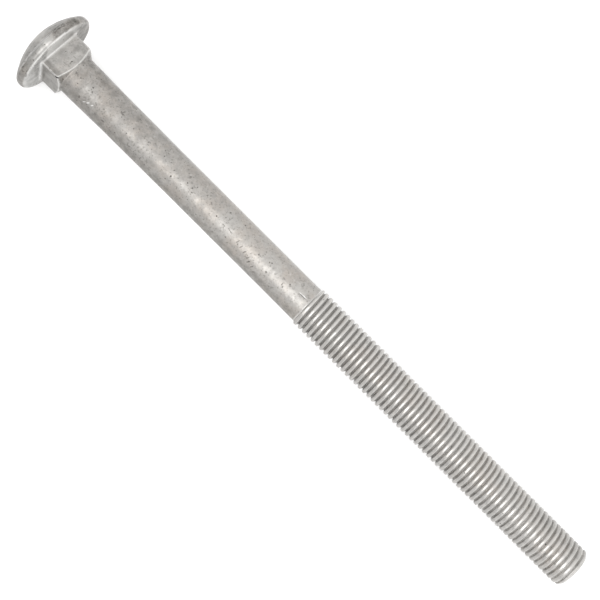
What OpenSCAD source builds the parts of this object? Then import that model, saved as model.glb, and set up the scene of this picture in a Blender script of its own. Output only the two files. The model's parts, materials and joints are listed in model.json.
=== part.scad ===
// Round-head square-neck carriage bolt, hot-dip galvanised, lying on its side.
// The bolt is turned and forged from one bar, so it is one solid and one node.
// It is drawn along +Z from the underside of its head and then laid down along +X,
// where the rim of the head and the end of the thread both touch the ground.
// The thread is shown in the usual simplified way, as a cylinder of its major diameter.

/* [Length] */
// Length from the underside of the head to the end of the bolt
bolt_length = 304.8; // [240:0.1:400]
// Length of the threaded part, measured back from the end
thread_length = 156.4; // [40:0.1:220]

/* [Head] */
// Diameter of the head at its widest
head_d = 39.5; // [32:0.1:48]
// Height of the head from its underside to the top of the dome
head_h = 11.2; // [9:0.1:13.5]
// Height of the straight band around the rim
rim_band = 0.8; // [0.2:0.1:1.5]
// Radius of the rounding on both edges of the rim
rim_round = 2.1; // [0.4:0.1:2.6]

/* [Square neck] */
// Width of the neck across its flats
neck_w = 19.3; // [18.4:0.1:24]
// Rounding of the neck's four long corners
neck_round = 0.7; // [0.2:0.1:2]
// Depth of the neck where its corners are still whole
neck_depth = 9.1; // [6:0.1:16]
// Length over which the corners run out into the shank
neck_runout = 1.8; // [1.5:0.1:6]

/* [Shank] */
// Diameter of the plain shank next to the thread
shank_d = 17.2; // [14:0.1:18]
// Diameter where the first swelling towards the head begins
swell_d = 17.5; // [14:0.1:18.2]
// Diameter of the shank where it leaves the neck
root_d = 18.2; // [14:0.1:18.3]
// Distance from the head at which the steep part of the swelling ends
swell_near = 40; // [25:1:50]
// Distance from the head at which the shank has come down to its own diameter
swell_far = 78; // [55:1:79]

/* [Thread] */
// Major diameter of the thread
thread_d = 19.0; // [18.3:0.05:22]
// Length of the slope from the shank up to the crests of the thread
thread_leadin = 1.0; // [0.5:0.1:3]
// Diameter of the flat end face
tip_d = 16.0; // [10:0.1:18]
// Length of the chamfer at the end
tip_chamfer = 1.8; // [0.5:0.1:4]

/* [Hidden] */
$fn = 96;
zinc = [0.72, 0.71, 0.69];
join = 0.5; // how far each stretch is let into the one before it

head_r = head_d / 2;
thread_r = thread_d / 2;
thread_start = bolt_length - thread_length;

// Dome: an arc from the middle of the head that runs smoothly into the rim's upper rounding.
rim_mid_r = head_r - rim_round;
rim_top = rim_round + rim_band;
dome_rise = head_h - rim_top;
dome_r = (rim_mid_r * rim_mid_r + dome_rise * dome_rise - rim_round * rim_round)
    / (2 * (dome_rise - rim_round));
dome_centre = dome_r - head_h;
// Direction from the dome's centre to the middle of the rim's upper rounding.
rim_reach = norm([rim_mid_r, dome_centre + rim_top]);
rim_dir = [rim_mid_r, -(dome_centre + rim_top)] / rim_reach;
past_rim = [rim_mid_r, -rim_top] + 2 * rim_round * rim_dir;

// Square neck: a cone trims its corners, from their full radius down to the shank.
neck_corner_r = (neck_w / 2 - neck_round) * sqrt(2) + neck_round;
neck_end = neck_depth + neck_runout;
trim_slope = (neck_corner_r - root_d / 2) / neck_runout;
trim_top_r = neck_corner_r + trim_slope; // the cone's radius 1 mm above neck_depth

// At rest the lower rounding of the rim and the edge of the end chamfer share the ground.
edge_u = bolt_length - tip_chamfer;
rest_run = edge_u + rim_round;
rest_rise = rim_mid_r - thread_r;
rest_tilt = atan2(rest_rise, rest_run) + asin(rim_round / norm([rest_run, rest_rise]));
rest_height = edge_u * sin(rest_tilt) + thread_r * cos(rest_tilt);
rest_left = dome_centre * cos(rest_tilt) - dome_r;
rest_right = bolt_length * cos(rest_tilt) + tip_d / 2 * sin(rest_tilt);

// Half section of the head, with the underside on the line y = 0.
module head_section() {
    intersection() {
        translate([0, dome_centre]) circle(dome_r);
        polygon([
            [0, -head_h - 1], [head_r + rim_round, -head_h - 1], past_rim,
            [rim_mid_r, -rim_top], [0, -rim_top]
        ]);
    }
    for (y = [-rim_top, -rim_round]) translate([rim_mid_r, y]) circle(rim_round, $fn = 48);
    translate([0, -rim_top]) square([head_r, rim_band]);
    translate([0, -rim_top]) square([rim_mid_r, rim_top]);
}

// Domed round head with a rounded rim and a flat underside.
module head() {
    color(zinc) rotate_extrude() head_section();
}

// Section of the neck: a square with rounded corners.
module neck_section() {
    flat_w = neck_w - 2 * neck_round;
    square([neck_w, flat_w], center = true);
    square([flat_w, neck_w], center = true);
    for (x = [-1, 1], y = [-1, 1])
        translate([x, y] * flat_w / 2) circle(neck_round, $fn = 32);
}

// Square neck that keeps the bolt from turning, its lower corners trimmed to a cone.
module neck() {
    color(zinc) intersection() {
        translate([0, 0, -join]) linear_extrude(neck_end + join) neck_section();
        union() {
            translate([0, 0, -join]) cylinder(r = trim_top_r, h = neck_depth - 1 + join);
            translate([0, 0, neck_depth - 1])
                cylinder(r1 = trim_top_r, r2 = root_d / 2, h = neck_runout + 1);
        }
    }
}

// Plain shank, which swells in two gentle steps towards the neck.
module shank() {
    color(zinc) rotate_extrude() polygon([
        [0, neck_depth - join], [root_d / 2, neck_depth - join], [root_d / 2, neck_end],
        [swell_d / 2, swell_near], [shank_d / 2, swell_far],
        [shank_d / 2, thread_start + join], [0, thread_start + join]
    ]);
}

// Threaded part at its major diameter, with a slope at its start and a chamfered end.
module thread() {
    color(zinc) rotate_extrude() polygon([
        [0, thread_start], [shank_d / 2, thread_start],
        [thread_r, thread_start + thread_leadin], [thread_r, edge_u],
        [tip_d / 2, bolt_length], [0, bolt_length]
    ]);
}

// The whole bolt, laid down with its box centred over the origin and its lowest points on z = 0.
module carriage_bolt() {
    translate([-(rest_left + rest_right) / 2, 0, rest_height]) rotate([0, 90 + rest_tilt, 0]) rotate([0, 0, 90]) {
        head();
        neck();
        shank();
        thread();
    }
}

carriage_bolt();
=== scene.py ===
"""Hot-dip galvanised carriage bolt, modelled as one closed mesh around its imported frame.

The bolt is drawn in millimetres along its own +X, from the underside of the head (u = 0) to
its threaded end, and is then laid down by the matrix that the frame's mounts give. Angles go
round the bolt from its upper side towards -Y.
"""

import json
import logging
import math
from collections.abc import Callable, Iterable
from dataclasses import dataclass, field
from enum import Enum

import bmesh
import bpy
from mathutils import Matrix, Vector, noise


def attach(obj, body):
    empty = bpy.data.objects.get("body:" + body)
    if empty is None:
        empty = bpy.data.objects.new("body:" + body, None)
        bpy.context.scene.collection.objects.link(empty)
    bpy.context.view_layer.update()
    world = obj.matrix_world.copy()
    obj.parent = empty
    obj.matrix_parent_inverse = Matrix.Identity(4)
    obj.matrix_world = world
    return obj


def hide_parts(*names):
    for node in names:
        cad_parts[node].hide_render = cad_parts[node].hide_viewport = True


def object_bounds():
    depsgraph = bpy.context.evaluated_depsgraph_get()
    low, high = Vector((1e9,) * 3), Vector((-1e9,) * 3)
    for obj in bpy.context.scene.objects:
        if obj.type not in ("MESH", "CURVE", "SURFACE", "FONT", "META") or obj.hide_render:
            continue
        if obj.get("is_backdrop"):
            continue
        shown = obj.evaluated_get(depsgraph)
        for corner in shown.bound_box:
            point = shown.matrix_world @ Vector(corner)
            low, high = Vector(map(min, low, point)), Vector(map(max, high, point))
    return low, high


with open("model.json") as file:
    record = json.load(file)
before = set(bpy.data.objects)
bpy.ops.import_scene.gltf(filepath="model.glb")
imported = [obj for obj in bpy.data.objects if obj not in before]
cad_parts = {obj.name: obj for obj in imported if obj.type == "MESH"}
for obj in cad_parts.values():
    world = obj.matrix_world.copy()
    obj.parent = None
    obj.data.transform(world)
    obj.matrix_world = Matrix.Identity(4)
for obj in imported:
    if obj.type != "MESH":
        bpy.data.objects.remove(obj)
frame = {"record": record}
CAD_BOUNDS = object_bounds()

MM = 0.001
LENGTH = 304.8
SHANK_RADIUS = 8.6
ROOT_RADIUS = 9.1
THREAD_START = 148.1
LOG = logging.getLogger("bolt")

SectionPoint = tuple[float, float]
Place = Callable[[float], Vector]
HighlightShare = Callable[[float], float]
Colour = tuple[float, float, float, float]
Socket = bpy.types.NodeSocket
Signal = Socket | float | Colour


class Layer(Enum):
    """Vertex measures that the finish reads, by the names of their attributes."""

    TURN = "turn"
    GROOVE = "groove"
    # Carries the painted highlight on edges, thread crests and tip-facing flanks.
    EDGE = "edge"


class Hold(Enum):
    """Which side of a cutting plane is thrown away."""

    HEAD_SIDE = "head side"
    TIP_SIDE = "tip side"


def smooth_step(low: float, high: float, value: float) -> float:
    """Blend from 0 at low to 1 at high with no corner at either end.

    Args:
        low: Value at which the blend starts.
        high: Value at which the blend is complete.
        value: The value to place between them.

    Returns:
        The blend, from 0 to 1.
    """
    share = min(1.0, max(0.0, (value - low) / (high - low)))
    return share * share * (3.0 - 2.0 * share)


def mix(first: float, second: float, share: float) -> float:
    """Return the value that lies share of the way from first to second."""
    return first + (second - first) * share


def soft_min(first: float, second: float, width: float) -> float:
    """Return the smaller value, with the corner between the two rounded.

    Args:
        first: One value.
        second: The other value.
        width: How near the two lie when the rounding starts.

    Returns:
        The rounded minimum.
    """
    share = max(width - abs(first - second), 0.0) / width
    return min(first, second) - share * share * width / 4.0


def around(u: float, radius: float, angle: float) -> Vector:
    """Place a point by its distance along the bolt, its radius and its angle in radians."""
    return Vector((u, -radius * math.sin(angle), radius * math.cos(angle)))


def angle_of(point: Vector) -> float:
    """Return the angle of a point around the bolt, in radians."""
    return math.atan2(-point.y, point.z)


@dataclass(frozen=True)
class RestFrame:
    """Where the bolt lies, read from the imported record's mounts."""

    underside: Vector
    axis: Vector

    @classmethod
    def from_record(cls, record: dict) -> "RestFrame":
        """Find the centre of the head's underside and the direction of the bolt.

        Args:
            record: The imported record.

        Returns:
            The bolt's place at rest, in metres.
        """
        mounts = {mount["name"]: mount for mount in record["mounts"]}
        axis = Vector(mounts["thread"]["axis"]).normalized()
        on_axis = Vector(mounts["thread"]["pos_m"])
        on_face = Vector(mounts["bearing_face"]["pos_m"])
        return cls(on_axis + axis * (on_face - on_axis).dot(axis), axis)

    @property
    def tilt(self) -> float:
        """Angle by which the threaded end dips below +X, in radians."""
        return math.atan2(-self.axis.z, self.axis.x)

    @property
    def upward(self) -> Vector:
        """Direction square to the bolt that points most nearly up."""
        return Vector((math.sin(self.tilt), 0.0, math.cos(self.tilt)))

    def matrix(self) -> Matrix:
        """Return the matrix from millimetres along the bolt to metres in the frame."""
        turn = Matrix.Rotation(self.tilt, 4, "Y")
        return Matrix.Translation(self.underside) @ turn @ Matrix.Scale(MM, 4)


@dataclass(frozen=True)
class Wobble:
    """Slow unevenness of a dipped surface, always inwards from the true size."""

    depth: float
    size: float
    seed: float

    def at(self, point: Vector) -> float:
        """Return how far the surface lies below its true size at a point, in millimetres."""
        sample = point / self.size + Vector((self.seed, self.seed, self.seed))
        value = noise.noise(sample) + 0.5 * noise.noise(sample * 2.3)
        return self.depth * min(1.0, max(0.0, 0.5 + 0.6 * value))


class Skin:
    """The open end of the bolt's mesh, which grows ring by ring along the bolt."""

    def __init__(self, mesh: bmesh.types.BMesh, edges: Iterable[bmesh.types.BMEdge]) -> None:
        """Start from a closed ring of edges.

        Args:
            mesh: The mesh that the ring belongs to.
            edges: The ring's edges.
        """
        self.mesh = mesh
        self.edges = list(edges)
        self.turn = mesh.verts.layers.float[Layer.TURN.value]
        # The edge layer holds the painted highlight.
        self.edge = mesh.verts.layers.float[Layer.EDGE.value]

    def grow(self, place: Place, painted_highlight: HighlightShare = lambda turn: 0.0) -> None:
        """Extrude the ring and set the new one down.

        Args:
            place: Gives a vertex's place from its share of a full turn.
            painted_highlight: Gives how much painted highlight the place gets, from 0 to 1.
        """
        grown = bmesh.ops.extrude_edge_only(self.mesh, edges=self.edges)["geom"]
        self.edges = [item for item in grown if isinstance(item, bmesh.types.BMEdge)
                      and len(item.link_faces) == 1]
        for item in grown:
            if isinstance(item, bmesh.types.BMVert):
                item.co = place(item[self.turn])
                item[self.edge] = painted_highlight(item[self.turn])

    def close(self) -> None:
        """Fill the ring with a fan of triangles around its middle."""
        filled = bmesh.ops.contextual_create(self.mesh, geom=self.edges)["faces"]
        bmesh.ops.poke(self.mesh, faces=filled)


@dataclass
class Head:
    """Low domed head with a rounded rim and a flat underside."""

    diameter: float = 39.5
    height: float = 11.2
    rim_band: float = 0.8
    rim_round: float = 2.1
    inner_radius: float = 16.6
    segments: int = 144
    dome_rings: int = 26
    round_rings: int = 9
    bright_lines: tuple[float, float] = (3.85, 0.35)
    highlight_towards: float = 30.0
    wobble: Wobble = field(default_factory=lambda: Wobble(0.12, 6.5, 3.1))

    @property
    def rim_mid(self) -> float:
        """Radius of the circle that the rim's roundings are centred on."""
        return self.diameter / 2 - self.rim_round

    @property
    def rim_top(self) -> float:
        """Distance from the underside up to the rim's upper rounding."""
        return self.rim_round + self.rim_band

    @property
    def dome_radius(self) -> float:
        """Radius of the dome, which runs smoothly into the rim."""
        rise = self.height - self.rim_top
        reach = self.rim_mid ** 2 + rise ** 2 - self.rim_round ** 2
        return reach / (2 * (rise - self.rim_round))

    def section(self) -> list[SectionPoint]:
        """Return the half section as (u, radius) points from the dome's top inwards.

        Returns:
            The points of the dome, the rim and the outer part of the underside.
        """
        centre = self.dome_radius - self.height
        edge = math.atan2(self.rim_mid, centre + self.rim_top)
        points = []
        for step in range(1, self.dome_rings + 1):
            angle = edge * step / self.dome_rings
            points.append((centre - self.dome_radius * math.cos(angle),
                           self.dome_radius * math.sin(angle)))
        for step in range(1, self.round_rings + 1):
            angle = mix(edge, math.pi / 2, step / self.round_rings)
            points.append((-self.rim_top - self.rim_round * math.cos(angle),
                           self.rim_mid + self.rim_round * math.sin(angle)))
        for step in range(self.round_rings + 1):
            angle = math.pi / 2 * step / self.round_rings
            points.append((-self.rim_round + self.rim_round * math.sin(angle),
                           self.rim_mid + self.rim_round * math.cos(angle)))
        points.append((0.0, mix(self.rim_mid, self.inner_radius, 0.5)))
        points.append((0.0, self.inner_radius))
        return points

    def build(self, mesh: bmesh.types.BMesh) -> Skin:
        """Spin the section into the head.

        Args:
            mesh: The mesh to add the head to.

        Returns:
            The open ring on the underside, where the neck starts.
        """
        top = mesh.verts.new((-self.height, 0.0, 0.0))
        chain = [top] + [mesh.verts.new(around(u, radius, 0.0)) for u, radius in self.section()]
        edges = [mesh.edges.new(pair) for pair in zip(chain, chain[1:])]
        bmesh.ops.spin(mesh, geom=chain + edges, cent=(0.0, 0.0, 0.0), axis=(1.0, 0.0, 0.0),
                       angle=math.tau, steps=self.segments, use_merge=True)
        bmesh.ops.remove_doubles(mesh, verts=list(mesh.verts), dist=0.001)
        bmesh.ops.dissolve_degenerate(mesh, dist=0.0005, edges=list(mesh.edges))
        turn = mesh.verts.layers.float[Layer.TURN.value]
        highlight_mark = mesh.verts.layers.float[Layer.EDGE.value]
        for vertex in mesh.verts:
            vertex[turn] = angle_of(vertex.co) / math.tau % 1.0
            # Painted highlight on the rim's edges.
            vertex[highlight_mark] = self.painted_highlight(vertex.co)
            self.dent(vertex)
        ring = [edge for edge in mesh.edges if len(edge.link_faces) == 1]
        LOG.info("head: %d faces", len(mesh.faces))
        return Skin(mesh, ring)

    def painted_highlight(self, point: Vector) -> float:
        """Return the painted highlight along the rim's two lines at a point, strongest on the upper -Y
        side towards the lamp.
        """
        if math.hypot(point.y, point.z) < self.rim_mid:
            return 0.0
        line = max(smooth_step(0.55, 0.1, abs(point.x + place)) for place in self.bright_lines)
        facing = max(0.0, math.cos(angle_of(point) - math.radians(self.highlight_towards)))
        return line * (0.12 + 1.7 * facing ** 6)

    def dent(self, vertex: bmesh.types.BMVert) -> None:
        """Sink one vertex of the head by the unevenness of its surface."""
        depth = self.wobble.at(vertex.co)
        radius = math.hypot(vertex.co.y, vertex.co.z)
        if radius < 0.01:
            vertex.co.x += depth
            return
        share = max(0.0, radius - depth * smooth_step(0.6, 1.0, radius * 2 / self.diameter)) / radius
        vertex.co.y *= share
        vertex.co.z *= share
        if vertex.co.x < -self.rim_round:
            vertex.co.x += depth * 0.8


@dataclass
class Neck:
    """Square neck whose lower corners run out into the shank."""

    width: float = 19.3
    corner_round: float = 0.7
    depth: float = 9.1
    runout: float = 1.8
    fillet: float = 1.3
    shank_radius: float = ROOT_RADIUS
    corner_share: float = 5 / 36
    trim_from: float = 8.5
    wobble: Wobble = field(default_factory=lambda: Wobble(0.10, 4.0, 7.7))

    @property
    def corner_radius(self) -> float:
        """Distance from the axis to a rounded corner."""
        return (self.width / 2 - self.corner_round) * math.sqrt(2) + self.corner_round

    def outline(self, turn: float, grow: float = 0.0) -> tuple[float, float]:
        """Follow the neck's rounded square by share of a turn.

        Args:
            turn: Share of a full turn, with 0 in the middle of the upper flat.
            grow: How far outside the square the outline runs.

        Returns:
            The angle and the radius of the point.
        """
        quarter = math.floor(turn * 4 + 0.5)
        across = turn * 4 - quarter
        flat_share = 0.5 - self.corner_share
        half_flat = self.width / 2 - self.corner_round
        bend = self.corner_round + grow
        side = math.copysign(1.0, across)
        if abs(across) <= flat_share:
            along, out = abs(across) / flat_share * half_flat, half_flat + bend
        else:
            angle = (abs(across) - flat_share) / self.corner_share * math.pi / 4
            along, out = half_flat + bend * math.sin(angle), half_flat + bend * math.cos(angle)
        return math.atan2(side * along, out) + quarter * math.pi / 2, math.hypot(along, out)

    def trimmed(self, turn: float, u: float) -> tuple[float, float, float]:
        """Return the angle, radius and painted highlight mark of the neck where its corners run out."""
        angle, square = self.outline(turn)
        slope = (self.corner_radius - self.shank_radius) / self.runout
        cone = self.corner_radius - slope * (u - self.depth)
        radius = soft_min(square, cone, 0.7)
        # The run-out edge and the long corners get a painted highlight.
        edge = 1.9 * max(0.0, 1.0 - abs(square - cone) / 1.1) if cone > self.shank_radius + 0.2 else 0.0
        edge = max(edge, self.corner_highlight(turn) * (square < cone))
        radius = -soft_min(-radius, -self.shank_radius, 0.8)
        return angle, radius, edge

    def corner_highlight(self, turn: float) -> float:
        """Return 1 on the neck's long corners and 0 on its flats, for the painted highlight along the
        corners.
        """
        across = abs(turn * 4 - math.floor(turn * 4 + 0.5))
        return smooth_step(0.5 - self.corner_share, 0.5 - self.corner_share * 0.5, across)

    def build(self, skin: Skin, head_radius: float) -> None:
        """Grow the fillet under the head, the flats and the run-out.

        Args:
            skin: The open ring on the head's underside.
            head_radius: Radius of that ring.
        """
        for share in (0.35, 0.7, 1.0):
            skin.grow(lambda turn, share=share: self.underside(turn, share, head_radius))
        steps = 6
        for step in range(1, steps + 1):
            angle = math.pi / 2 * step / steps
            grow = self.fillet * (1 - math.sin(angle))
            u = self.fillet * (1 - math.cos(angle))
            # The fillet and the long corners get a painted highlight.
            skin.grow(lambda turn, u=u, grow=grow: self.flat(turn, u, grow),
                      lambda turn, angle=angle: max(self.corner_highlight(turn), math.sin(2 * angle)))
        for u in (2.4, 3.6, 4.8, 6.0, 7.2, 8.0, self.trim_from):
            # The long corners of the flats get a painted highlight.
            skin.grow(lambda turn, u=u: self.flat(turn, u, 0.0), self.corner_highlight)
        count = 18
        for step in range(1, count + 1):
            u = mix(self.trim_from, self.depth + self.runout + 0.6, step / count)
            # The run-out edge gets a painted highlight.
            skin.grow(lambda turn, u=u: self.corner(turn, u), lambda turn, u=u: self.trimmed(turn, u)[2])
        LOG.info("neck: %d faces so far", len(skin.mesh.faces))

    def underside(self, turn: float, share: float, head_radius: float) -> Vector:
        """Place a point on the underside between the head's ring and the fillet."""
        angle, radius = self.outline(turn, self.fillet)
        start = around(0.0, head_radius, turn * math.tau)
        return start.lerp(around(0.0, radius, angle), share)

    def flat(self, turn: float, u: float, grow: float) -> Vector:
        """Place a point on the fillet or on a flat."""
        angle, radius = self.outline(turn, grow)
        point = around(u, radius, angle)
        return around(u, radius - self.wobble.at(point) * smooth_step(0.0, 3.0, u), angle)

    def corner(self, turn: float, u: float) -> Vector:
        """Place a point where the corners are trimmed down to the shank."""
        angle, radius, _ = self.trimmed(turn, u)
        point = around(u, radius, angle)
        return around(u, radius - self.wobble.at(point), angle)


@dataclass
class Shank:
    """Plain shank that swells gently towards the neck."""

    radius: float = SHANK_RADIUS
    swell_radius: float = 8.75
    root_radius: float = ROOT_RADIUS
    swell_near: float = 40.0
    swell_far: float = 78.0
    start: float = 11.5
    end: float = THREAD_START - 0.2
    even_by: float = 22.0
    calm_from: float = 140.0
    rings: int = 58
    wobble: Wobble = field(default_factory=lambda: Wobble(0.07, 7.0, 11.3))

    def radius_at(self, u: float) -> float:
        """Return the shank's radius at a distance from the head."""
        if u < self.swell_near:
            return mix(self.root_radius, self.swell_radius, smooth_step(self.start, self.swell_near, u))
        return mix(self.swell_radius, self.radius, smooth_step(self.swell_near, self.swell_far, u))

    def build(self, skin: Skin, neck: Neck) -> None:
        """Grow the shank from the neck to the start of the thread.

        Args:
            skin: The open ring at the end of the neck.
            neck: The neck, whose uneven spacing of vertices evens out along the shank.
        """
        for step in range(1, self.rings + 1):
            u = mix(self.start, self.end, (step / self.rings) ** 1.15)
            skin.grow(lambda turn, u=u: self.point(turn, u, neck))
        LOG.info("shank: %d faces so far", len(skin.mesh.faces))

    def point(self, turn: float, u: float, neck: Neck) -> Vector:
        """Place a point of the shank."""
        even = smooth_step(self.start, self.even_by, u)
        square_angle = neck.outline(turn)[0]
        angle = mix(square_angle, turn * math.tau, even)
        radius = self.radius_at(u)
        depth = self.wobble.at(around(u, radius, angle)) * (1 - smooth_step(self.calm_from, self.end, u))
        return around(u, radius - depth, angle)


@dataclass
class Thread:
    """Right-hand rolled thread with a zinc coat that thickens towards the end."""

    pitch: float = 2.531
    major_radius: float = 9.5
    minor_radius: float = 8.06
    start: float = THREAD_START
    end: float = LENGTH
    crest_at_top: float = 151.76
    leadin: float = 0.9
    deepen: float = 3.2
    chamfer: float = 1.8
    tip_radius: float = 8.0
    end_round: float = 0.25
    steps: int = 72
    shank_radius: float = SHANK_RADIUS
    lump_size: float = 3.2
    most_fill: float = 0.62

    def form(self, phase: float) -> float:
        """Return the height of the thread's form, from 0 at the root to 1 at the crest.

        Args:
            phase: Distance from the crest as a share of the pitch, from -0.5 to 0.5.

        Returns:
            The height, with a rounded crest and a rounded root.
        """
        flank = (0.495 - abs(phase)) / 0.275
        low = -soft_min(-flank, 0.0, 0.10)
        return soft_min(low, 1.0, 0.34)

    def phase_of(self, u: float, angle: float) -> float:
        """Return how far a point lies from the nearest crest, as a share of the pitch."""
        turns = (u - self.crest_at_top) / self.pitch - angle / math.tau
        return turns - math.floor(turns + 0.5)

    @staticmethod
    def painted_crest_highlight(phase: float) -> float:
        """Return the painted highlight across the form: on the crest, and most on the flank that faces the
        tip.
        """
        crest = smooth_step(-0.42, -0.26, phase) * (1.0 - smooth_step(0.30, 0.44, phase))
        flank = smooth_step(0.08, 0.22, phase) * (1.0 - smooth_step(0.42, 0.50, phase))
        return max(0.8 * crest, 1.2 * flank)

    def coat(self, point: Vector) -> float:
        """Return how much of the groove is filled with zinc at a point, from 0 to 1."""
        body = 0.20 * smooth_step(165.0, 235.0, point.x) + 0.32 * smooth_step(240.0, 292.0, point.x)
        body += 0.30 * smooth_step(297.0, 303.0, point.x)
        lumps = noise.noise(point / self.lump_size + Vector((5.0, 5.0, 5.0)))
        return min(1.0, max(0.0, body * (1.0 + 0.8 * lumps) + 0.05 * lumps + 0.03))

    def radius_at(self, u: float, angle: float) -> tuple[float, float]:
        """Shape the thread at one place.

        Args:
            u: Distance from the head's underside.
            angle: Angle around the bolt, in radians.

        Returns:
            The radius, and how deep in the groove the place lies from 0 to 1.
        """
        shape = self.form(self.phase_of(u, angle))
        place = around(u, self.major_radius, angle)
        risen = smooth_step(self.start, self.start + self.leadin, u)
        sunk = smooth_step(self.start, self.start + self.deepen, u)
        crest = mix(self.shank_radius, self.major_radius, risen)
        root = mix(self.shank_radius, self.minor_radius, sunk)
        crest -= 0.05 + 0.05 * noise.noise(place / 2.2) if u > self.start + self.leadin else 0.0
        coat = self.coat(place)
        root += (crest - root) * self.most_fill * coat
        radius = mix(root, crest, shape)
        taper = (self.major_radius - self.tip_radius) / self.chamfer
        limit = self.major_radius - taper * (u - (self.end - self.chamfer))
        return soft_min(radius, limit, 0.25), (1.0 - shape) ** 2.4 * (1.0 - 0.7 * coat)

    def ribbon(self, mesh: bmesh.types.BMesh) -> list:
        """Spin one turn of the thread's form.

        Args:
            mesh: The mesh to add the turn to.

        Returns:
            The turn's vertices, edges and faces.
        """
        phases = [-0.5, -0.46, -0.42, -0.36, -0.29, -0.21, -0.11,
                  0.0, 0.11, 0.21, 0.29, 0.36, 0.42, 0.46, 0.5]
        chain = [mesh.verts.new(around(phase * self.pitch, mix(self.minor_radius, self.major_radius,
                                                              self.form(phase)), 0.0))
                 for phase in phases]
        edges = [mesh.edges.new(pair) for pair in zip(chain, chain[1:])]
        before = set(mesh.faces)
        bmesh.ops.spin(mesh, geom=chain + edges, cent=(0.0, 0.0, 0.0), axis=(1.0, 0.0, 0.0),
                       dvec=(self.pitch / self.steps, 0.0, 0.0), angle=math.tau, steps=self.steps)
        faces = [face for face in mesh.faces if face not in before]
        return self.whole(faces)

    @staticmethod
    def whole(faces: Iterable[bmesh.types.BMFace]) -> list:
        """Return faces together with all their edges and vertices."""
        faces = list(faces)
        edges = {edge for face in faces for edge in face.edges}
        verts = {vertex for face in faces for vertex in face.verts}
        return list(verts) + list(edges) + faces

    def build(self) -> bmesh.types.BMesh:
        """Repeat the turn along the bolt, trim both ends and shape every turn.

        Returns:
            The thread as a mesh of its own, open at both ends.
        """
        mesh = new_mesh()
        first = math.floor((self.start - self.crest_at_top) / self.pitch) - 2
        last = math.ceil((self.end - self.crest_at_top) / self.pitch) + 1
        turn = self.ribbon(mesh)
        bmesh.ops.translate(mesh, verts=list(mesh.verts),
                            vec=(self.crest_at_top + first * self.pitch, 0.0, 0.0))
        for number in range(1, last - first + 1):
            copy = bmesh.ops.duplicate(mesh, geom=turn)["geom"]
            verts = [item for item in copy if isinstance(item, bmesh.types.BMVert)]
            bmesh.ops.translate(mesh, verts=verts, vec=(number * self.pitch, 0.0, 0.0))
        bmesh.ops.remove_doubles(mesh, verts=list(mesh.verts), dist=0.01)
        self.cut(mesh, self.start, Hold.HEAD_SIDE)
        self.cut(mesh, self.end - self.end_round, Hold.TIP_SIDE)
        bmesh.ops.remove_doubles(mesh, verts=list(mesh.verts), dist=0.01)
        groove = mesh.verts.layers.float[Layer.GROOVE.value]
        edge = mesh.verts.layers.float[Layer.EDGE.value]
        turn_share = mesh.verts.layers.float[Layer.TURN.value]
        for vertex in mesh.verts:
            angle = angle_of(vertex.co)
            # A painted highlight rings the thread's start, and another lies along the crests and
            # tip-facing flanks.
            shoulder = 1.3 * smooth_step(0.6, 0.1, abs(vertex.co.x - self.start - 0.2))
            vertex[edge] = max(shoulder, self.painted_crest_highlight(self.phase_of(vertex.co.x, angle)))
            radius, depth = self.radius_at(vertex.co.x, angle)
            vertex.co = around(vertex.co.x, radius, angle)
            vertex[groove] = depth
            vertex[turn_share] = angle / math.tau % 1.0
        LOG.info("thread: %d faces", len(mesh.faces))
        return mesh

    def cut(self, mesh: bmesh.types.BMesh, u: float, hold: Hold) -> None:
        """Cut the thread square at one place and drop what lies beyond.

        Args:
            mesh: The thread's mesh.
            u: Where to cut.
            hold: The side to throw away.
        """
        everything = list(mesh.verts) + list(mesh.edges) + list(mesh.faces)
        bmesh.ops.bisect_plane(mesh, geom=everything, dist=0.0005, plane_co=(u, 0.0, 0.0),
                               plane_no=(1.0, 0.0, 0.0), clear_inner=hold is Hold.HEAD_SIDE,
                               clear_outer=hold is Hold.TIP_SIDE)


@dataclass
class Tip:
    """Flat end face with a rounded rim and a shallow hollow left by the shear."""

    end: float = LENGTH
    rim_radius: float = 7.75
    hollow: float = 0.25
    wobble: Wobble = field(default_factory=lambda: Wobble(0.22, 3.5, 17.9))

    def build(self, skin: Skin) -> None:
        """Grow the end face inwards and close it.

        Args:
            skin: The open ring at the end of the thread.
        """
        rings = ((self.rim_radius, 0.07), (self.rim_radius - 0.3, 0.01), (self.rim_radius - 0.8, 0.0),
                 (6.2, 0.0), (5.0, 0.0), (3.8, 0.0), (2.6, 0.0), (1.3, 0.0))
        for radius, drop in rings:
            skin.grow(lambda turn, radius=radius, drop=drop: self.point(turn, radius, drop))
        skin.close()
        LOG.info("tip: %d faces so far", len(skin.mesh.faces))

    def point(self, turn: float, radius: float, drop: float) -> Vector:
        """Place a point of the end face."""
        angle = turn * math.tau
        middle = 1.0 - smooth_step(2.0, 7.5, radius)
        place = around(self.end - drop, radius, angle)
        uneven = self.wobble.at(place) * (1.0 - smooth_step(7.2, 8.0, radius))
        return around(self.end - drop - self.hollow * middle - uneven, radius, angle)


def add_object(name: str, data: bpy.types.ID) -> bpy.types.Object:
    """Return a new object in the scene that shows the data given."""
    made = bpy.data.objects.new(name, data)
    bpy.context.scene.collection.objects.link(made)
    return made


def new_mesh() -> bmesh.types.BMesh:
    """Return an empty mesh with the layers that the finish reads."""
    mesh = bmesh.new()
    for layer in Layer:
        mesh.verts.layers.float.new(layer.value)
    return mesh


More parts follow.
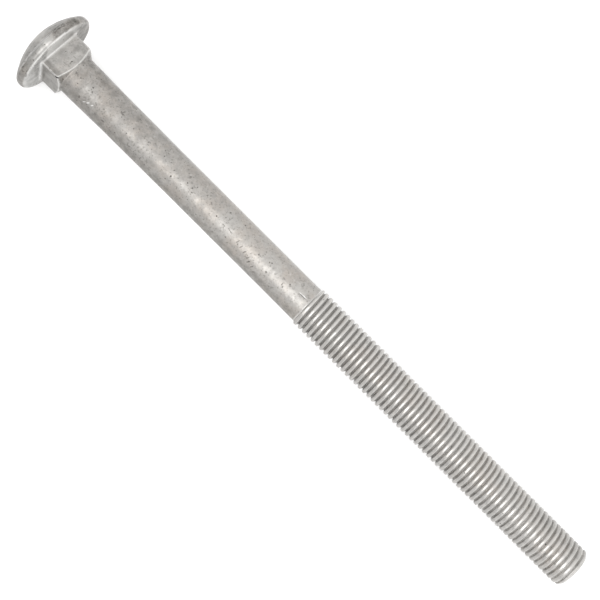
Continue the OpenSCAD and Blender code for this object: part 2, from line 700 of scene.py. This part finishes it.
@dataclass
class CarriageBolt:
    """The whole bolt, forged and rolled from one bar."""

    place: RestFrame
    head: Head = field(default_factory=Head)
    neck: Neck = field(default_factory=Neck)
    shank: Shank = field(default_factory=Shank)
    thread: Thread = field(default_factory=Thread)
    tip: Tip = field(default_factory=Tip)
    name: str = "galvanised_bolt"

    def build(self) -> bpy.types.Object:
        """Model the bolt from head to tip and lay it down.

        Returns:
            The finished object, with its place in its mesh.
        """
        mesh = new_mesh()
        skin = self.head.build(mesh)
        self.neck.build(skin, self.head.inner_radius)
        self.shank.build(skin, self.neck)
        self.add(mesh, self.thread.build())
        middle = (self.thread.start + self.thread.end) / 2
        ends = [edge for edge in mesh.edges if len(edge.link_faces) == 1]
        joint = [edge for edge in ends if edge.verts[0].co.x < middle]
        bmesh.ops.bridge_loops(mesh, edges=joint)
        self.tip.build(Skin(mesh, [edge for edge in ends if edge.verts[0].co.x > middle]))
        bmesh.ops.recalc_face_normals(mesh, faces=list(mesh.faces))
        return self.finish(mesh)

    @staticmethod
    def add(mesh: bmesh.types.BMesh, part: bmesh.types.BMesh) -> None:
        """Move one mesh's contents into another.

        Args:
            mesh: The mesh that receives them.
            part: The mesh that is emptied and freed.
        """
        carrier = bpy.data.meshes.new("carrier")
        part.to_mesh(carrier)
        part.free()
        mesh.from_mesh(carrier)
        bpy.data.meshes.remove(carrier)

    def finish(self, mesh: bmesh.types.BMesh) -> bpy.types.Object:
        """Turn the drawn mesh into an object that lies in the frame.

        Args:
            mesh: The bolt in millimetres along its own axis.

        Returns:
            The object, smooth shaded, at the origin.
        """
        open_edges = sum(1 for edge in mesh.edges if len(edge.link_faces) != 2)
        LOG.info("%s: volume %.0f mm3, %d open or odd edges, %d triangles", self.name,
                 mesh.calc_volume(signed=True), open_edges,
                 sum(len(face.verts) - 2 for face in mesh.faces))
        bmesh.ops.transform(mesh, matrix=self.place.matrix(), verts=list(mesh.verts))
        data = bpy.data.meshes.new(self.name)
        mesh.to_mesh(data)
        mesh.free()
        data.shade_smooth()
        return add_object(self.name, data)


class Nodes:
    """Adds nodes to one tree and joins them."""

    def __init__(self, tree: bpy.types.NodeTree) -> None:
        """Work on one node tree.

        Args:
            tree: The tree of a material or of the world.
        """
        self.tree = tree

    def add(self, kind: str, **settings: object) -> bpy.types.Node:
        """Add a node and set its properties.

        Args:
            kind: The node's type name.
            settings: Properties of the node.

        Returns:
            The new node.
        """
        node = self.tree.nodes.new(kind)
        for name, value in settings.items():
            setattr(node, name, value)
        return node

    def join(self, source: Signal, target: Socket) -> None:
        """Feed a socket from another node's output, or give it a fixed value."""
        if isinstance(source, Socket):
            self.tree.links.new(source, target)
        else:
            target.default_value = source

    def feed(self, node: bpy.types.Node, inputs: dict[str, Signal | Vector]) -> None:
        """Feed several named inputs of one node."""
        for name, source in inputs.items():
            self.join(source, node.inputs[name])

    def math(self, operation: str, *values: Signal, clamp: bool = False) -> Socket:
        """Combine values.

        Args:
            operation: The Math node's operation.
            values: One to three sockets or numbers.
            clamp: Whether the result is kept between 0 and 1.

        Returns:
            The result.
        """
        node = self.add("ShaderNodeMath", operation=operation, use_clamp=clamp)
        for value, target in zip(values, node.inputs):
            self.join(value, target)
        return node.outputs["Value"]

    def dot(self, vector: Socket, direction: Vector) -> Socket:
        """Return how far a vector points in a direction."""
        node = self.add("ShaderNodeVectorMath", operation="DOT_PRODUCT")
        self.join(vector, node.inputs[0])
        node.inputs[1].default_value = direction
        return node.outputs["Value"]

    def step(self, value: Signal, low: float, high: float,
             first: float = 0.0, last: float = 1.0) -> Socket:
        """Run smoothly from one value to another as the input passes between two limits.

        Args:
            value: The input.
            low: The input at which the result is still first.
            high: The input at which the result has reached last.
            first: The result below low.
            last: The result above high.

        Returns:
            The result.
        """
        node = self.add("ShaderNodeMapRange", interpolation_type="SMOOTHSTEP")
        for number, target in zip((value, low, high, first, last), node.inputs):
            self.join(number, target)
        return node.outputs["Result"]

    def cloud(self, place: Socket, scale: float, detail: float = 2.0,
              roughness: float = 0.5, seed: float = 0.0) -> Socket:
        """Return a soft noise.

        Args:
            place: The coordinates, in millimetres.
            scale: Lumps per millimetre.
            detail: How many finer layers are laid over the first.
            roughness: How strong the finer layers are.
            seed: Picks another field of the same noise.

        Returns:
            The noise, around 0.5.
        """
        node = self.add("ShaderNodeTexNoise", noise_dimensions="4D")
        self.feed(node, {"Vector": place, "W": seed, "Scale": scale, "Detail": detail,
                         "Roughness": roughness})
        return node.outputs["Fac"]

    def tint(self, first: Signal, second: Signal, share: Signal) -> Socket:
        """Mix two colours.

        Args:
            first: The colour at a share of 0.
            second: The colour that is laid over it.
            share: How much of the second colour is laid on.

        Returns:
            The mixed colour.
        """
        node = self.add("ShaderNodeMix", data_type="RGBA")
        self.join(share, node.inputs[0])
        self.join(first, node.inputs[6])
        self.join(second, node.inputs[7])
        return node.outputs[2]


class Mark(Enum):
    """What a single mark in the zinc looks like."""

    STAIN = "stain"
    PIT = "pit"
    SCRATCH = "scratch"


@dataclass(frozen=True)
class Blemish:
    """One mark, placed by its distance along the bolt, its angle and its radius."""

    u: float
    angle: float
    length: float
    width: float
    slant: float = 0.0
    radius: float = 8.7
    strength: float = 1.0

    def mask(self, nodes: Nodes, place: Socket) -> Socket:
        """Return how much of the mark covers a place.

        Args:
            nodes: The tree to work in.
            place: The place on the bolt, in millimetres.

        Returns:
            The cover, from 0 to the mark's strength.
        """
        turn = math.radians(self.angle)
        lie = Matrix.Rotation(turn, 4, "X") @ Matrix.Rotation(math.radians(self.slant), 4, "Z")
        mapping = nodes.add("ShaderNodeMapping", vector_type="TEXTURE")
        nodes.feed(mapping, {"Vector": place, "Location": around(self.u, self.radius, turn),
                             "Rotation": lie.to_euler("XYZ"),
                             "Scale": (self.length / 2, self.width / 2, 1.6)})
        size = nodes.add("ShaderNodeVectorMath", operation="LENGTH")
        nodes.join(mapping.outputs["Vector"], size.inputs[0])
        return nodes.step(size.outputs["Value"], 0.6, 1.15, self.strength, 0.0)


# Each row gives a Blemish its u, angle, length, width, slant, radius and, if not 1, its strength.
MARKS: dict[Mark, tuple[tuple[float, ...], ...]] = {
    Mark.STAIN: (
        # This stain is a painted shadow line on the -Y side of the neck's near corner.
        (7.6, 47.5, 3.2, 0.5, 0.0, 13.3, 0.7),
        (8.2, 6.0, 0.5, 1.6, 10.0, 9.65, 0.7),
        (8.6, 14.0, 1.6, 0.35, 0.0, 9.8, 0.5),
        (6.9, 16.5, 2.2, 0.3, 0.0, 9.8, 0.45),
        (7.1, 20.5, 2.0, 0.3, 0.0, 9.9, 0.45),
        (7.6, -12.0, 2.6, 0.4, 0.0, 9.8, 0.5),
        (12.6, 13.0, 0.7, 1.5, 20.0, 9.0, 0.8),
        (14.2, 16.0, 0.9, 0.6, 0.0, 9.0, 0.7),
        (15.6, 13.5, 0.9, 0.7, 0.0, 9.0, 0.9),
        (16.4, 10.5, 0.5, 0.5, 0.0, 9.0, 0.6),
        (38.0, -2.5, 0.6, 2.2, -20.0, 8.8, 0.85),
        (38.4, 3.5, 1.7, 0.6, 15.0, 8.8, 0.85),
        (34.6, -1.5, 1.8, 0.5, 35.0, 8.8, 0.6),
        (20.2, 55.0, 1.2, 1.6, 25.0, 9.0, 0.9),
        (24.3, 56.0, 1.6, 0.35, 40.0, 9.0, 0.7),
        (27.2, 33.5, 0.9, 0.9, 0.0, 8.9, 0.6),
        (31.5, 30.0, 0.9, 0.9, 0.0, 8.9, 0.5),
        (34.0, 58.5, 2.2, 0.8, 10.0, 8.9, 0.8),
        (29.6, 59.0, 1.0, 1.0, 0.0, 8.9, 0.7),
        (45.0, -24.0, 1.5, 0.4, 0.0, 8.7, 0.9),
        (48.4, -24.0, 0.6, 0.5, 0.0, 8.7, 0.8),
        (54.2, 7.0, 0.7, 0.7, 0.0, 8.7, 0.8),
        (55.9, 61.0, 0.4, 1.3, 30.0, 8.7, 0.8),
        (63.1, -10.0, 0.8, 0.6, 0.0, 8.7, 0.8),
        (76.6, -7.0, 1.0, 1.6, 10.0, 8.6, 0.6),
        (78.8, 2.0, 1.2, 0.9, 0.0, 8.6, 0.5),
        (82.4, 17.5, 1.8, 0.5, 0.0, 8.6, 0.5),
        (75.7, 44.0, 0.4, 1.2, 30.0, 8.6, 0.7),
        (86.9, -4.5, 1.1, 0.4, 40.0, 8.6, 0.7),
        (100.4, 23.0, 2.2, 0.5, 0.0, 8.6, 0.8),
        (104.2, 22.0, 2.6, 0.5, -8.0, 8.6, 0.8),
        (109.4, 28.0, 1.7, 0.50, 66.0, 8.6, 0.85),
        (111.9, 32.0, 2.0, 0.55, 70.0, 8.6, 1.0),
        (114.4, 35.5, 1.9, 0.55, 64.0, 8.6, 1.0),
        (117.0, 41.0, 2.0, 0.50, 58.0, 8.6, 0.95),
        (118.3, 48.5, 2.0, 0.65, 62.0, 8.6, 1.0),
        (120.7, 53.5, 1.8, 0.50, 66.0, 8.6, 0.95),
        (122.6, 61.5, 1.7, 0.50, 60.0, 8.6, 0.95),
        (119.4, 12.5, 1.0, 0.7, 40.0, 8.6, 0.95),
        (124.8, 6.5, 0.8, 0.6, 0.0, 8.6, 0.85),
        (126.5, 32.0, 1.0, 0.8, 0.0, 8.6, 0.9),
        (134.8, 24.0, 0.5, 1.9, 0.0, 8.6, 0.95),
        # This stain is a painted shadow line along the -Y side of the scratch at u 144.4.
        (144.5, 8.6, 4.4, 0.42, 3.0, 8.6, 0.95),
        (132.0, 56.0, 5.5, 0.35, 14.0, 8.6, 0.35),
        (-3.9, -16.5, 0.5, 2.6, 12.0, 19.6, 0.85),
        (-2.9, -15.0, 0.45, 2.4, -8.0, 19.7, 0.75),
        (-4.3, -10.5, 0.5, 2.2, 10.0, 19.6, 0.8),
        (-3.2, -9.0, 0.45, 2.6, -12.0, 19.7, 0.75),
        (-4.0, -3.5, 0.5, 2.0, 15.0, 19.6, 0.85),
        (-3.3, -1.0, 1.1, 0.5, 20.0, 19.6, 0.8),
        (-2.4, -22.0, 0.6, 1.6, 0.0, 19.7, 0.6),
        (-4.6, -30.0, 0.7, 1.8, 25.0, 19.5, 0.5),
        (-0.6, -14.0, 0.5, 2.2, 0.0, 19.4, 0.7),
        (-4.4, 36.0, 0.4, 3.4, -10.0, 19.6, 0.6),
        (-3.6, 44.0, 0.6, 1.6, 15.0, 19.6, 0.7),
        (-3.9, 52.0, 0.5, 2.2, -20.0, 19.6, 0.75),
        (-3.2, 59.0, 0.6, 2.4, -25.0, 19.7, 0.95),
        (-2.3, 64.0, 1.3, 0.8, 0.0, 19.7, 0.95),
        (-0.9, 60.0, 0.4, 2.6, 0.0, 19.4, 0.8),
        (-0.5, 68.0, 0.4, 3.6, 10.0, 19.3, 0.9),
        (-3.8, 76.0, 1.0, 2.0, 0.0, 19.6, 0.6),
        (0.0, -47.0, 1.0, 1.0, 0.0, 17.4, 0.7),
    ),
    Mark.PIT: (
        (8.9, 46.0, 2.0, 0.8, 0.0, 13.3),
    ),
    Mark.SCRATCH: (
        (23.0, 55.0, 1.6, 0.40, 48.0, 9.0),
        (24.6, 50.0, 1.9, 0.45, 48.0, 9.0),
        (26.6, 46.5, 1.4, 0.40, 48.0, 9.0),
        (144.4, 6.0, 4.6, 0.45, 3.0, 8.6),
    ),
}


class ZincPattern:
    """The patterns of dipped zinc, painted shade and painted highlights among them, drawn in one
    material's tree.
    """

    def __init__(self, nodes: Nodes, place: Socket) -> None:
        """Draw the patterns that several parts of the finish share.

        Args:
            nodes: The material's tree.
            place: The place on the bolt, in millimetres.
        """
        self.nodes = nodes
        self.place = place
        split = nodes.add("ShaderNodeSeparateXYZ")
        nodes.join(place, split.inputs["Vector"])
        self.along = split.outputs["X"]
        self.uneven = self.ragged()
        self.mottle = nodes.cloud(place, 0.42, 5.0, 0.66, 2.0)
        self.grain = nodes.cloud(place, 1.25, 3.0, 0.62, 5.0)
        self.groove = nodes.step(self.measure(Layer.GROOVE), 0.62, 1.0)
        # The edge measure is the painted highlight on edges, crests and tip-facing flanks; it also lowers
        # roughness.
        self.edge = self.measure(Layer.EDGE)
        self.pits = self.scatter()

    def measure(self, layer: Layer) -> Socket:
        """Return one of the mesh's own measures."""
        return self.nodes.add("ShaderNodeAttribute", attribute_name=layer.value).outputs["Fac"]

    def towards(self, degrees: float) -> Socket:
        """Return how far a place lies from the axis in the direction of an angle."""
        return self.nodes.dot(self.place, around(0.0, 1.0, math.radians(degrees)))

    def times(self, first: Signal, second: Signal) -> Socket:
        """Return the product of two values."""
        return self.nodes.math("MULTIPLY", first, second)

    def most(self, first: Signal, second: Signal) -> Socket:
        """Return the larger of two values."""
        return self.nodes.math("MAXIMUM", first, second)

    def ragged(self) -> Socket:
        """Return the place with small random shifts, so that marks get ragged outlines."""
        wave = self.nodes.add("ShaderNodeTexNoise")
        self.nodes.feed(wave, {"Vector": self.place, "Scale": 1.3, "Detail": 2.0})
        shift = self.nodes.add("ShaderNodeVectorMath", operation="MULTIPLY_ADD")
        self.nodes.join(wave.outputs["Color"], shift.inputs[0])
        shift.inputs[1].default_value = (0.8, 0.8, 0.8)
        shift.inputs[2].default_value = (-0.4, -0.4, -0.4)
        total = self.nodes.add("ShaderNodeVectorMath", operation="ADD")
        self.nodes.join(self.place, total.inputs[0])
        self.nodes.join(shift.outputs["Vector"], total.inputs[1])
        return total.outputs["Vector"]

    def scatter(self) -> Socket:
        """Scatter dark pits, most of them in patches on the head's half of the bolt."""
        nodes = self.nodes
        crowd = nodes.step(nodes.cloud(self.place, 0.10, 2.0, 0.5, 21.0), 0.34, 0.60)
        crowd = self.times(crowd, nodes.step(self.along, 118.0, 88.0, 0.20, 1.25))
        total = 0.0
        for scale, size, share in ((0.30, 0.13, 0.50), (0.70, 0.24, 0.62)):
            cells = nodes.add("ShaderNodeTexVoronoi")
            nodes.feed(cells, {"Vector": self.uneven, "Scale": scale})
            parts = nodes.add("ShaderNodeSeparateColor")
            nodes.join(cells.outputs["Color"], parts.inputs["Color"])
            chosen = nodes.math("LESS_THAN", parts.outputs["Red"], self.times(crowd, share))
            reach = self.times(parts.outputs["Green"], size)
            inside = nodes.math("SUBTRACT", reach, cells.outputs["Distance"])
            total = self.most(total, self.times(nodes.step(inside, -0.02, 0.05), chosen))
        return total

    def marks(self, kind: Mark) -> Signal:
        """Return how much of a place the single marks of one kind cover."""
        total = 0.0
        for values in MARKS[kind]:
            total = self.most(total, Blemish(*values).mask(self.nodes, self.uneven))
        return total

    def painted_end_shade(self) -> Socket:
        """Return painted shade towards both ends of the bolt, strongest at the head and on its +Y side,
        laid on in blotchy patches.
        """
        nodes = self.nodes
        near = nodes.step(self.along, 125.0, 10.0)
        near = self.times(near, nodes.step(self.along, 0.0, 6.0, 1.15, 1.0))
        far = self.towards(-60.0)
        patch = nodes.step(nodes.cloud(self.place, 0.28, 4.0, 0.65, 33.0), 0.34, 0.70, 0.10, 0.50)
        patch = self.times(patch, nodes.step(far, 0.0, 13.0, 0.72, 1.7))
        tip = nodes.step(self.along, 250.0, 292.0, 0.0, 0.85)
        return self.times(self.most(near, self.times(tip, nodes.step(far, 3.0, 8.0))), patch)

    def painted_head_light(self) -> Socket:
        """Return painted light on the head: a painted highlight on the rim's -Y side and on the underside
        towards -Y, with the dome and the neck a little lighter all round.
        """
        nodes = self.nodes
        under = nodes.step(nodes.math("ABSOLUTE", self.along), 0.9, 0.3)
        under = self.times(under, nodes.step(self.towards(62.0), -8.0, 12.0, 0.12, 1.0))
        dome = nodes.step(self.along, -4.2, -5.4, 0.0, 0.10)
        outer = nodes.step(self.towards(27.0), 17.3, 19.4)
        rim = self.times(outer, nodes.step(self.along, -0.1, -0.8))
        from_middle = nodes.math("ABSOLUTE", nodes.math("ADD", self.along, -5.5))
        neck = nodes.step(from_middle, 5.2, 4.4, 0.0, 0.16)
        return self.most(self.most(under, self.most(dome, self.times(rim, 0.44))), neck)

    def painted_low_shade(self) -> Socket:
        """Return painted shade along the lower part of the bolt's -Y side, laid on in blotchy patches."""
        band = self.nodes.step(self.towards(85.0), 7.0, 8.4)
        cloud = self.nodes.cloud(self.place, 0.35, 4.0, 0.65, 63.0)
        return self.times(band, self.nodes.step(cloud, 0.30, 0.66, 0.22, 0.58))

    def relief(self) -> Socket:
        """Return the normal, bent by the zinc's fine roughness."""
        nodes = self.nodes
        height = self.times(self.mottle, 0.16)
        height = nodes.math("MULTIPLY_ADD", self.grain, 0.05, height)
        swell = nodes.cloud(self.place, 0.22, 2.0, 0.5, 41.0)
        height = nodes.math("MULTIPLY_ADD", swell, 0.22, height)
        height = nodes.math("MULTIPLY_ADD", self.pits, -0.10, height)
        bump = nodes.add("ShaderNodeBump")
        nodes.feed(bump, {"Distance": MM, "Strength": 1.0, "Height": height})
        return bump.outputs["Normal"]


@dataclass(frozen=True)
class GalvanisedSteel:
    """Dull dipped zinc: mottled, flecked with dark pits, darker deep in the thread's grooves, with painted
    shade and painted highlights in its colour.
    """

    place: RestFrame
    pale: Colour = (0.350, 0.338, 0.320, 1.0)
    warm: Colour = (0.338, 0.312, 0.285, 1.0)
    cool: Colour = (0.270, 0.260, 0.248, 1.0)
    # Used for pits, stains and specks, for the darkening in the grooves, and also for painted shade.
    dirt_and_shade: Colour = (0.070, 0.066, 0.058, 1.0)
    soot: Colour = (0.015, 0.015, 0.015, 1.0)
    # Used for scratches and paler grain, and also for painted highlights.
    bright_and_highlight: Colour = (0.600, 0.595, 0.580, 1.0)
    metallic: float = 0.60
    specular: float = 0.28
    roughness: float = 0.44

    def material(self) -> bpy.types.Material:
        """Build the finish.

        Returns:
            The material, patterned on the bolt's own place in Object coordinates.
        """
        material = bpy.data.materials.new("galvanised_steel")
        material.use_nodes = True
        nodes = Nodes(material.node_tree)
        shader = material.node_tree.nodes["Principled BSDF"]
        nodes.feed(shader, {"Metallic": self.metallic, "Specular IOR Level": self.specular})
        zinc = ZincPattern(nodes, self.bolt_place(nodes))
        colour = self.base(nodes, zinc)
        coats = (
            # Painted shade towards the head and the tip, most on the +Y side.
            (self.dirt_and_shade, zinc.painted_end_shade()),
            # Painted highlight on the rim and painted light under the head.
            (self.bright_and_highlight, zinc.painted_head_light()),
            # Painted shade along the lower -Y side of the bolt.
            (self.dirt_and_shade, zinc.painted_low_shade()),
            # Darker deep in the thread's grooves.
            (self.dirt_and_shade, zinc.times(zinc.groove, 0.30)),
            # Painted highlight on the rim, the neck's edges and the thread's crests.
            (self.bright_and_highlight, zinc.times(zinc.edge, 0.34)),
            (self.dirt_and_shade, zinc.times(zinc.pits, 0.85)),
            # Stains; two of them are painted shadow lines.
            (self.dirt_and_shade, zinc.times(zinc.marks(Mark.STAIN), 0.8)),
            (self.soot, zinc.marks(Mark.PIT)),
            (self.bright_and_highlight, zinc.marks(Mark.SCRATCH)),
        )
        for coat, share in coats:
            colour = nodes.tint(colour, coat, share)
        nodes.feed(shader, {"Base Color": colour, "Roughness": self.dullness(nodes, zinc),
                            "Normal": zinc.relief()})
        return material

    def bolt_place(self, nodes: Nodes) -> Socket:
        """Return the place on the bolt in millimetres, with X along the bolt from the underside."""
        turn = Matrix.Rotation(-self.place.tilt, 3, "Y")
        mapping = nodes.add("ShaderNodeMapping", vector_type="POINT")
        nodes.feed(mapping, {"Vector": nodes.add("ShaderNodeTexCoord").outputs["Object"],
                             "Location": turn @ self.place.underside / -MM,
                             "Rotation": (0.0, -self.place.tilt, 0.0),
                             "Scale": (1 / MM, 1 / MM, 1 / MM)})
        return mapping.outputs["Vector"]

    def base(self, nodes: Nodes, zinc: ZincPattern) -> Socket:
        """Lay down the zinc's clouded colour."""
        warmth = nodes.step(nodes.cloud(zinc.place, 0.09, 3.0, 0.55, 8.0), 0.40, 0.64)
        shade = nodes.step(zinc.mottle, 0.34, 0.68)
        speck = nodes.step(zinc.grain, 0.54, 0.68)
        gleam = nodes.step(zinc.grain, 0.42, 0.26)
        colour = nodes.tint(self.pale, self.warm, warmth)
        colour = nodes.tint(colour, self.cool, zinc.times(shade, 0.75))
        colour = nodes.tint(colour, self.dirt_and_shade, zinc.times(speck, 0.52))
        return nodes.tint(colour, self.bright_and_highlight, zinc.times(gleam, 0.30))

    def dullness(self, nodes: Nodes, zinc: ZincPattern) -> Socket:
        """Return the roughness, which grooves and pits raise and the marks of painted highlight lower."""
        value = nodes.math("MULTIPLY_ADD", zinc.mottle, 0.16, self.roughness - 0.10)
        value = nodes.math("MULTIPLY_ADD", zinc.groove, 0.16, value)
        value = nodes.math("MULTIPLY_ADD", zinc.pits, 0.25, value)
        return nodes.math("MULTIPLY_ADD", zinc.edge, -0.14, value, clamp=True)


@dataclass(frozen=True)
class Studio:
    """Pale floor under a broad soft sky, with one round lamp above the bolt."""

    floor_size: float = 6.0
    floor_tone: float = 0.92
    sky: float = 0.93
    sky_rise: float = 0.78
    sky_towards: tuple[float, float, float] = (0.55, 0.30, 0.78)
    lamp_size: float = 0.95
    lamp_distance: float = 1.2
    lamp_angle: float = 36.0
    lamp_shift: float = 0.24
    lamp_power: float = 9.6

    def build(self) -> None:
        """Lay the floor, hang the lamp and set the surroundings."""
        self.floor()
        self.surroundings()
        self.lamp()
        bpy.context.scene.view_settings.view_transform = "Standard"

    def floor(self) -> None:
        """Lay the floor."""
        mesh = bmesh.new()
        bmesh.ops.create_grid(mesh, x_segments=1, y_segments=1, size=self.floor_size / 2)
        data = bpy.data.meshes.new("floor")
        mesh.to_mesh(data)
        mesh.free()
        floor = add_object("floor", data)
        paint = bpy.data.materials.new("floor_paint")
        paint.use_nodes = True
        tone = self.floor_tone
        Nodes(paint.node_tree).feed(
            paint.node_tree.nodes["Principled BSDF"],
            {"Base Color": (tone, tone, tone, 1.0), "Roughness": 1.0, "Specular IOR Level": 0.0})
        data.materials.append(paint)
        floor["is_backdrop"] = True

    def surroundings(self) -> None:
        """Set a sky that is brightest above the bolt's tip and dimmest low on the -Y side."""
        world = bpy.data.worlds.new("studio")
        world.use_nodes = True
        nodes = Nodes(world.node_tree)
        place = nodes.add("ShaderNodeTexCoord").outputs["Generated"]
        facing = nodes.dot(place, Vector(self.sky_towards).normalized())
        strength = nodes.math("MULTIPLY_ADD", facing, self.sky_rise, self.sky)
        background = world.node_tree.nodes["Background"]
        nodes.feed(background, {"Color": (1.0, 1.0, 1.0, 1.0), "Strength": strength})
        bpy.context.scene.world = world

    def lamp(self) -> None:
        """Hang the lamp, turned to the bolt."""
        data = bpy.data.lights.new("lamp", "AREA")
        data.shape = "DISK"
        data.size = self.lamp_size
        data.energy = self.lamp_power
        angle = math.radians(self.lamp_angle)
        spot = around(self.lamp_shift, self.lamp_distance, angle)
        lamp = add_object("lamp", data)
        lamp.location = spot
        lamp.rotation_euler = spot.to_track_quat("Z", "Y").to_euler()


@dataclass(frozen=True)
class View:
    """Camera that looks down on the bolt, which lies across the frame from corner to corner."""

    place: RestFrame
    distance: float = 607.5
    swing: float = 19.5
    lean: float = 0.77
    middle: float = LENGTH / 2
    middle_along: float = 7.83
    middle_across: float = 25.09
    diagonal: float = 44.88
    lens_share: float = 2.4167
    sidestep: float = 0.102

    def build(self) -> None:
        """Make the camera and give it to the scene."""
        swing, lean, diagonal = (math.radians(value) for value in (self.swing, self.lean, self.diagonal))
        axis, upward, sideways = self.place.axis, self.place.upward, Vector((0.0, -1.0, 0.0))
        towards = upward * math.cos(swing) + sideways * math.sin(swing)
        across = sideways * math.cos(swing) - upward * math.sin(swing)
        along = axis * math.cos(lean) - towards * math.sin(lean)
        back = axis * math.sin(lean) + towards * math.cos(lean)
        right = along * math.cos(diagonal) - across * math.sin(diagonal)
        down = along * math.sin(diagonal) + across * math.cos(diagonal)
        offset = axis * self.middle - along * self.middle_along - across * self.middle_across
        spot = self.place.underside + (offset + back * self.distance) * MM
        data = bpy.data.cameras.new("view")
        data.lens = self.lens_share * data.sensor_width
        data.shift_x = -self.sidestep * math.sin(diagonal)
        data.shift_y = -self.sidestep * math.cos(diagonal)
        data.clip_start = 0.01
        camera = add_object("view", data)
        camera.matrix_world = Matrix.Translation(spot) @ Matrix((right, -down, back)).transposed().to_4x4()
        bpy.context.scene.camera = camera


def write_sizes(visual: object) -> None:
    """Turn the CAD model's box and the visual model's box into plain lists, which are not kept.
    """
    boxes = {"cad": CAD_BOUNDS, "visual": visual}
    plain = {name: [[float(value) for value in corner] for corner in box] for name, box in boxes.items()}


def main() -> None:
    """Build the view, the studio and the bolt in order."""
    logging.basicConfig(level=logging.INFO, format="%(name)s: %(message)s")
    place = RestFrame.from_record(frame["record"])
    View(place).build()
    Studio().build()
    bolt = CarriageBolt(place).build()
    bolt.data.materials.append(GalvanisedSteel(place).material())
    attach(bolt, "root")
    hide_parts("carriage_bolt")
    write_sizes(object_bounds())


if __name__ == "__main__":
    main()
